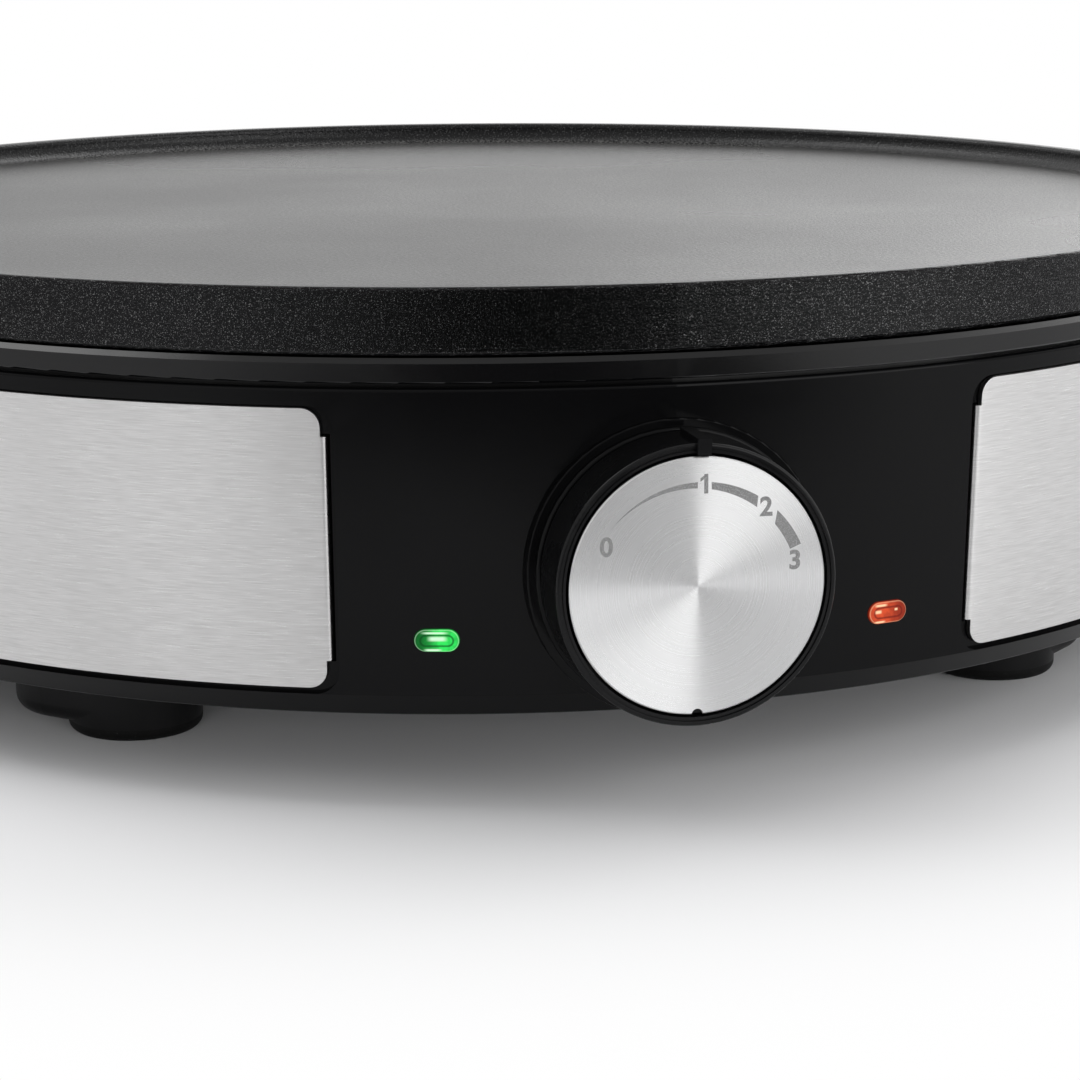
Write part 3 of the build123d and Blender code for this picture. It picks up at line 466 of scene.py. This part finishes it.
def pick_edges(piece, test):
    """In edit mode, selects the edges whose middle passes a test."""
    bpy.ops.mesh.select_mode(type="EDGE")
    bpy.ops.mesh.select_all(action="DESELECT")
    mesh = bmesh.from_edit_mesh(piece.data)
    for edge in mesh.edges:
        if test((edge.verts[0].co + edge.verts[1].co) / 2, edge):
            edge.select_set(True)
    mesh.select_flush_mode()
    bmesh.update_edit_mesh(piece.data)


def use_modifier(piece, kind, **settings):
    clear_selection()
    piece.select_set(True)
    bpy.context.view_layer.objects.active = piece
    modifier = piece.modifiers.new(kind.lower(), kind)
    for name, value in settings.items():
        setattr(modifier, name, value)
    bpy.ops.object.modifier_apply(modifier=modifier.name)


def settle(piece):
    """Puts a finished piece's place and turn into its mesh and shades its rounds smooth."""
    clear_selection()
    piece.select_set(True)
    bpy.context.view_layer.objects.active = piece
    bpy.ops.object.transform_apply(location=True, rotation=True, scale=True)
    bpy.ops.object.shade_smooth_by_angle(angle=smooth_angle)


def wall_radius(height):
    return wall_foot_radius + (height - wall_foot) * tan(wall_draft)


def wrap_on_wall(piece, azimuth, middle):
    """Bends a flat blank in XY, with Z as its outside, round the drafted wall of the housing."""
    around = wall_radius(middle)
    for corner in piece.data.vertices:
        along, up, out = corner.co
        turn = azimuth + along / around
        reach = wall_radius(middle + up) + out
        corner.co = (reach * sin(turn), axis_y - reach * cos(turn), middle + up)


def make_panel(node, side):
    """Cuts the blank, folds its two end lips, bends it round the wall and gives it its gauge."""
    low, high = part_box(node)
    middle = (low.z + high.z) / 2
    half_height = (high.z - low.z) / 2
    half_length = (panel_end - panel_start) / 2 * wall_radius(middle) - fold_radius
    half_lip = half_height - lip_relief
    clear_selection()
    bpy.ops.mesh.primitive_plane_add(size=2)
    panel = bpy.context.object
    panel.name = node.replace("panel", "side_panel")
    panel.scale = (half_length, half_height, 1)
    bpy.ops.object.transform_apply(scale=True)
    edit(panel)
    bpy.ops.mesh.select_all(action="SELECT")
    bpy.ops.mesh.bevel(affect="VERTICES", offset=corner_radius, segments=corner_steps)
    for strip in range(1, panel_strips):
        bpy.ops.mesh.select_all(action="SELECT")
        cut = (half_length * (2 * strip / panel_strips - 1), 0, 0)
        bpy.ops.mesh.bisect(plane_co=cut, plane_no=(1, 0, 0))
    for edge in (-1, 1):
        bpy.ops.mesh.select_all(action="SELECT")
        bpy.ops.mesh.bisect(plane_co=(0, edge * half_lip, 0), plane_no=(0, 1, 0))
    for edge in (-1, 1):
        pick_edges(panel, lambda spot, item: abs(spot.y) < half_lip
                   and abs(spot.x - edge * half_length) < near_enough)
        bpy.ops.mesh.spin(steps=fold_steps, angle=-edge * pi / 2, axis=(0, 1, 0),
                          center=(edge * half_length, 0, -fold_radius))
        bpy.ops.mesh.extrude_region_move(TRANSFORM_OT_translate={"value": (0, 0, -lip_depth)})
    clear_selection()
    wrap_on_wall(panel, side * (panel_start + panel_end) / 2, middle)
    use_modifier(panel, "SOLIDIFY", thickness=panel_thickness, offset=-1)
    use_modifier(panel, "BEVEL", width=edge_round, segments=2, limit_method="ANGLE",
                 angle_limit=sharp_angle)
    settle(panel)
    use_modifier(panel, "WEIGHTED_NORMAL", keep_sharp=True)
    panel.data.materials.append(brushed_steel)
    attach(panel, "base")
    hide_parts(node)


brushed_steel, tree, shader = start_finish(
    "brushed_steel", steel_light, roughness=0.30, metallic=1.0, Anisotropic=0.65)
lines = apply_effect(tree, brush_effect, Along=240.0, Across=7600.0)["Lines"]
broad = apply_effect(tree, brush_effect, Along=60.0, Across=2300.0)["Lines"]
both = maths(tree, "ADD", maths(tree, "MULTIPLY", lines, 1.0 - broad_lines),
             maths(tree, "MULTIPLY", broad, broad_lines))
haze = apply_effect(tree, cloud_effect, Scale=34.0, Low=0.30, High=0.75)["Clouds"]
share = maths(tree, "MULTIPLY", between(tree, both, 0.25, 0.75),
              between(tree, haze, 0.0, 1.0, 1.0, haze_dulling))
vary_colour(tree, shader, share, steel_dark, steel_light)
vary_roughness(tree, shader, both, 0.37, 0.27, low=0.3, high=0.7)
upright = add(tree, "ShaderNodeCombineXYZ", {2: 1.0}).outputs[0]
tree.links.new(upright, shader.inputs["Tangent"])
emboss(tree, shader, both, depth=0.00001, strength=0.25)
for node, side in (("right_panel", 1), ("left_panel", -1)):
    make_panel(node, side)

# Knob ring: the satin black grip that turns round the fixed dial. A pointer stands out of
# it, and a fine groove runs round its front lip.

knob_plastic, tree, shader = start_finish(
    "knob_plastic", (0.004, 0.004, 0.0043), roughness=0.24, Specular_IOR_Level=0.18)
clouds = apply_effect(tree, cloud_effect, Scale=70.0)["Clouds"]
vary_roughness(tree, shader, clouds, 0.19, 0.30)
grain = apply_effect(tree, grain_effect, Scale=3000.0)["Grain"]
emboss(tree, shader, grain, depth=0.00001, strength=0.4)
finish_nodes(knob_plastic, "knob_ring")

# Dial: a turned aluminium disc on a fixed carrier inside the ring. Its scale is etched
# matt, with a band that widens from 0 to 3 as the heat rises.

dial_low, dial_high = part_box("dial_disc")
dial_middle = (dial_low + dial_high) / 2
grooves_per_metre = 9000.0
etch_height = 0.00003

# Each digit: its mark, its angle clockwise from the top and how far out it stands.
digits = (("0", -64.7, 0.0160), ("1", 4.3, 0.0159), ("2", 42.3, 0.0160), ("3", 78.3, 0.0158))
digit_height = 0.0030
digit_share_of_type = 0.729
stroke_swell = 0.00012

# The flag of the 1, in digit heights: it leaves the stroke between two depths below the top.
flag_top = 0.12
flag_foot = 0.30
flag_slope = 0.35
flag_reach = 0.20
flag_drop = 0.13
flag_edges = (0.05, 0.34)
upright_within = 1e-6

# The band's edges are circles struck off the dial's middle: sideways, upwards and radius.
inner_edge = (-0.00099, -0.00169, 0.01707)
outer_edge = (0.00018, -0.00146, 0.01778)

# Each stretch of the band: the angles at which its inner and outer edge start and end.
bands = (((-54.5, -54.5), (-0.5, -0.5)), ((7.8, 7.2), (37.9, 34.6)), ((53.1, 48.0), (70.8, 70.4)))
band_cuts = 23


def around_dial(azimuth, reach):
    """A point on the dial's face, at a clockwise angle from its top."""
    turn = radians(azimuth)
    return Vector((dial_middle.x + reach * sin(turn), dial_low.y,
                   dial_middle.z + reach * cos(turn)))


def edge_reach(azimuth, edge):
    """How far an edge of the band, a circle struck off the dial's middle, is from that middle."""
    side, up, radius = edge
    along = side * sin(radians(azimuth)) + up * cos(radians(azimuth))
    return along + sqrt(along ** 2 + radius ** 2 - side ** 2 - up ** 2)


def make_band(start, end):
    """One stretch of the band, between the angles where its two edges start and end."""
    clear_selection()
    bpy.ops.mesh.primitive_plane_add(size=1)
    band = bpy.context.object
    edit(band)
    bpy.ops.mesh.select_all(action="SELECT")
    bpy.ops.mesh.subdivide(number_cuts=band_cuts)
    bpy.ops.object.mode_set(mode="OBJECT")
    for corner in band.data.vertices:
        along = corner.co.x + 0.5
        across = corner.co.y + 0.5
        inner = start[0] + (end[0] - start[0]) * along
        outer = start[1] + (end[1] - start[1]) * along
        corner.co = around_dial(inner, edge_reach(inner, inner_edge)).lerp(
            around_dial(outer, edge_reach(outer, outer_edge)), across)
    return band


def add_flag(digit):
    """Draws the slanting flag out of the plain stroke that stands for a 1."""
    stroke_top = max(corner.co.y for corner in digit.data.vertices)
    edit(digit)
    for depth in (flag_top, flag_foot):
        bpy.ops.mesh.select_all(action="SELECT")
        bpy.ops.mesh.bisect(plane_co=(0, stroke_top - depth * digit_height, 0),
                            plane_no=(flag_slope, 1, 0))
    shallow, deep = flag_edges
    pick_edges(digit, lambda spot, item: item.is_boundary and spot.x < 0
               and shallow < (stroke_top - spot.y) / digit_height < deep
               and abs(item.verts[0].co.x - item.verts[1].co.x) < upright_within)
    bpy.ops.mesh.extrude_region_move(TRANSFORM_OT_translate={
        "value": (-flag_reach * digit_height, -flag_drop * digit_height, 0)})
    clear_selection()


def make_digit(mark, azimuth, reach):
    clear_selection()
    bpy.ops.object.text_add()
    digit = bpy.context.object
    digit.data.body = mark
    digit.data.size = digit_height / digit_share_of_type
    digit.data.align_x = "CENTER"
    digit.data.align_y = "CENTER"
    digit.data.offset = stroke_swell
    bpy.ops.object.convert(target="MESH")
    digit = bpy.context.object
    if mark == "1":
        add_flag(digit)
    digit.rotation_euler = (pi / 2, 0, 0)
    digit.location = around_dial(azimuth, reach)
    bpy.ops.object.transform_apply(location=True, rotation=True, scale=True)
    return digit


etched, tree, shader = start_finish(
    "etched_aluminium", (0.26, 0.26, 0.26), roughness=0.55, metallic=0.6)
grain = apply_effect(tree, grain_effect, Scale=5200.0, Flecks=0.5)
vary_colour(tree, shader, grain["Flecks"], (0.17, 0.17, 0.17), (0.32, 0.32, 0.32))
emboss(tree, shader, grain["Grain"], depth=0.00003, strength=0.6)

marks = [make_band(*band) for band in bands] + [make_digit(*digit) for digit in digits]
clear_selection()
for mark in marks:
    mark.select_set(True)
scale = marks[0]
bpy.context.view_layer.objects.active = scale
bpy.ops.object.join()
scale.name = "dial_scale"
use_modifier(scale, "SOLIDIFY", thickness=etch_height, offset=0)
settle(scale)
scale.data.materials.append(etched)
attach(scale, "base")

spun_aluminium, tree, shader = start_finish(
    "spun_aluminium", (0.80, 0.80, 0.80), roughness=0.29, metallic=1.0, Anisotropic=1.0)
spoke = keep_only(tree, from_middle(tree, tuple(dial_middle)), (1, 0, 1))
tree.links.new(spoke, shader.inputs["Tangent"])
rings = maths(tree, "MULTIPLY", length_of(tree, spoke), grooves_per_metre)
groove = add(tree, "ShaderNodeTexNoise", {"W": rings, "Scale": 1.0, "Detail": 2.0},
             noise_dimensions="1D").outputs[0]
vary_colour(tree, shader, groove, (0.75, 0.75, 0.75), (0.86, 0.86, 0.86))
vary_roughness(tree, shader, groove, 0.30, 0.27, low=0.2, high=0.8)
emboss(tree, shader, groove, depth=0.000002, strength=0.3)
finish_nodes(spun_aluminium, "dial_disc")

# Thermostat behind the knob: a phenolic body on a zinc-plated plate, with a brass bush
# for its flatted spindle, which a spring holds in the ring. The dial's carrier, moulded
# in black, pegs into it through the ring.

phenolic, tree, shader = start_finish("phenolic", (0.05, 0.030, 0.020), roughness=0.45)
clouds = apply_effect(tree, cloud_effect, Scale=120.0)["Clouds"]
vary_colour(tree, shader, clouds, (0.055, 0.034, 0.022), (0.038, 0.022, 0.015))
finish_nodes(phenolic, "thermostat_body")

brass, tree, shader = start_finish(
    "turned_brass", (0.72, 0.52, 0.22), roughness=0.28, metallic=1.0)
lines = apply_effect(tree, brush_effect, Along=1200.0, Across=5000.0)["Lines"]
vary_colour(tree, shader, lines, (0.66, 0.47, 0.20), (0.78, 0.58, 0.27))
finish_nodes(brass, "thermostat_bush")
finish_nodes(zinc, "thermostat_spindle", "thermostat_faceplate", "thermostat_screws", "knob_spring")

moulded, tree, shader = start_finish(
    "moulded_black_plastic", (0.004, 0.004, 0.0042), roughness=0.42, Specular_IOR_Level=0.16)
clouds = apply_effect(tree, cloud_effect, Scale=22.0)["Clouds"]
vary_roughness(tree, shader, clouds, 0.36, 0.48)
grain = apply_effect(tree, grain_effect, Scale=1700.0)["Grain"]
emboss(tree, shader, grain, depth=0.00003, strength=0.6)
finish_nodes(moulded, "dial_carrier")

# Signal lamps: clear tinted pills pressed into the housing, green for power and orange
# for ready, each lit from behind by a small neon lamp. A lens has a smaller pill moulded
# inside it, and its glow darkens at the end away from the knob. Painted shade darkens its
# wall, and painted highlights lie in it as a thin line near the rim and as level streaks.

lamp_azimuth = radians(14.3)
lens_round = 0.00185
lens_straight = 0.00175
inner_round = 0.00085

# Where each line or end fades out, and the share of light that it keeps or adds.
inner_line = (0.00005, 0.00025)
inner_dark = 0.25
# The wall's darkening is painted shade, and the line near the rim is a painted highlight.
wall_start = 0.94 * lens_round
wall_shade = 0.10
rim_middle = 0.91 * lens_round
rim_line = (0.00002, 0.00012)
rim_highlight = 0.30
far_end = (-0.4 * lens_straight, 1.5 * lens_straight)
mottle_dark = 0.65
streak_ends = (0.5, 1.3)
streak_core = 0.2


def painted_highlight_streak(tree, across, up, middle, height, reach, depth):
    """A level streak of painted highlight in a lens: where it lies, half its length and half its
    depth.
    """
    along = maths(tree, "ABSOLUTE", maths(tree, "SUBTRACT", across, middle))
    away = maths(tree, "ABSOLUTE", maths(tree, "SUBTRACT", up, height))
    ends = between(tree, along, streak_ends[0] * reach, streak_ends[1] * reach, 1.0, 0.0)
    thick = between(tree, away, streak_core * depth, depth, 1.0, 0.0)
    return maths(tree, "MULTIPLY", ends, thick)


def finish_lens(name, node, side, colours, end_dark, streaks):
    """A lit lens in a deep, a glowing and a highlight colour, with painted shade at its wall and
    painted highlight streaks in it.
    """
    deep, glow, highlight_colour = colours
    lens, tree, shader = start_finish(name, deep, roughness=0.15, Specular_IOR_Level=0.10)
    low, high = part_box(node)
    offset = from_middle(tree, (0, axis_y, (low.z + high.z) / 2))
    tangent = (cos(lamp_azimuth), side * sin(lamp_azimuth), 0)
    across = add(tree, "ShaderNodeVectorMath", {0: offset, 1: tangent},
                 operation="DOT_PRODUCT").outputs["Value"]
    up = add(tree, "ShaderNodeSeparateXYZ", {0: offset}).outputs["Z"]
    beyond = maths(tree, "SUBTRACT", maths(tree, "ABSOLUTE", across), lens_straight)
    beyond = maths(tree, "MAXIMUM", beyond, 0.0)
    distance = length_of(tree, add(tree, "ShaderNodeCombineXYZ", {0: beyond, 1: up}).outputs[0])
    outward = maths(tree, "MULTIPLY", across, side)
    mottle = apply_effect(tree, cloud_effect, Scale=700.0, Low=0.30, High=0.70, Warp=0.8)["Clouds"]
    core = maths(tree, "ABSOLUTE", maths(tree, "SUBTRACT", distance, inner_round))
    shade = between(tree, core, *inner_line, inner_dark, 1.0)
    end = between(tree, outward, *far_end, 1.0, end_dark)
    # Painted shade at the lens's wall.
    wall = between(tree, distance, wall_start, lens_round, 1.0, wall_shade)
    shade = maths(tree, "MULTIPLY", maths(tree, "MULTIPLY", shade, end), wall)
    shade = maths(tree, "MULTIPLY", shade, between(tree, mottle, 0.0, 1.0, mottle_dark, 1.0))
    body = blend(tree, shade, deep, glow)
    # Painted highlights: a thin line near the rim and the level streaks.
    rim = maths(tree, "ABSOLUTE", maths(tree, "SUBTRACT", distance, rim_middle))
    light = between(tree, rim, *rim_line, rim_highlight, 0.0)
    for streak in streaks:
        light = maths(tree, "MAXIMUM", light, painted_highlight_streak(tree, across, up, *streak))
    tree.links.new(blend(tree, light, body, highlight_colour), shader.inputs["Emission Color"])
    shader.inputs["Emission Strength"].default_value = 1.0
    finish_nodes(lens, node)


finish_lens("green_lens", "power_lamp_lens", -1,
            ((0.0, 0.03, 0.004), (0.035, 0.84, 0.12), (0.70, 1.0, 0.72)), 0.10,
            ((-0.0003, 0.00124, 0.0019, 0.00025), (0.0001, 0.00030, 0.0014, 0.00055),
             (-0.0006, -0.00152, 0.0013, 0.00030)))
finish_lens("orange_lens", "ready_lamp_lens", 1,
            ((0.075, 0.005, 0.003), (0.66, 0.085, 0.026), (1.0, 0.72, 0.42)), 0.28,
            ((-0.0014, 0.00125, 0.0011, 0.00030), (-0.0019, 0.00020, 0.0006, 0.00040),
             (0.0015, 0.00035, 0.0003, 0.00030), (-0.0016, -0.00150, 0.0010, 0.00025)))

glass, tree, shader = start_finish("lamp_glass", (1.0, 0.60, 0.38), roughness=0.05)
clouds = apply_effect(tree, cloud_effect, Scale=300.0)["Clouds"]
vary_colour(tree, shader, clouds, (0.90, 0.35, 0.15), (0.90, 0.70, 0.55))
finish_nodes(glass, "power_neon_lamp", "ready_neon_lamp")

# Bottom cover: a moulded black tray with vents, screwed up into the housing, whose four
# feet end in pressed-on rubber pads.

finish_nodes(moulded, "bottom_cover")
finish_nodes(zinc, "base_screws")

rubber, tree, shader = start_finish(
    "black_rubber", (0.004, 0.004, 0.004), roughness=0.58, Specular_IOR_Level=0.14)
grain = apply_effect(tree, grain_effect, Scale=2000.0, Flecks=0.66)
vary_colour(tree, shader, grain["Flecks"], (0.003, 0.003, 0.003), (0.022, 0.022, 0.022))
emboss(tree, shader, grain["Grain"], depth=0.00004, strength=0.7)
finish_nodes(rubber, "front_left_foot_pad", "front_right_foot_pad", "rear_left_foot_pad",
             "rear_right_foot_pad")

# Cord entry and wiring: a moulded gland and clamp at the back, a white terminal block,
# sleeved leads to the thermostat and the element, and a thermal fuse held in a clip.

finish_nodes(moulded, "cord_gland", "cord_clamp")
finish_nodes(zinc, "cord_clamp_screws", "block_screws", "thermal_fuse")

block_plastic, tree, shader = start_finish(
    "terminal_plastic", (0.72, 0.71, 0.67), roughness=0.40)
clouds = apply_effect(tree, cloud_effect, Scale=60.0)["Clouds"]
vary_colour(tree, shader, clouds, (0.74, 0.73, 0.69), (0.66, 0.64, 0.58))
finish_nodes(block_plastic, "terminal_block")

sleeving, tree, shader = start_finish("woven_sleeving", (0.60, 0.56, 0.46), roughness=0.75)
weave = apply_effect(tree, grain_effect, Scale=3200.0, Flecks=0.5)
vary_colour(tree, shader, weave["Flecks"], (0.52, 0.48, 0.39), (0.66, 0.62, 0.52))
emboss(tree, shader, weave["Grain"], depth=0.00008, strength=0.8)
finish_nodes(sleeving, "supply_lead", "switched_lead", "neutral_lead", "fuse_lead")
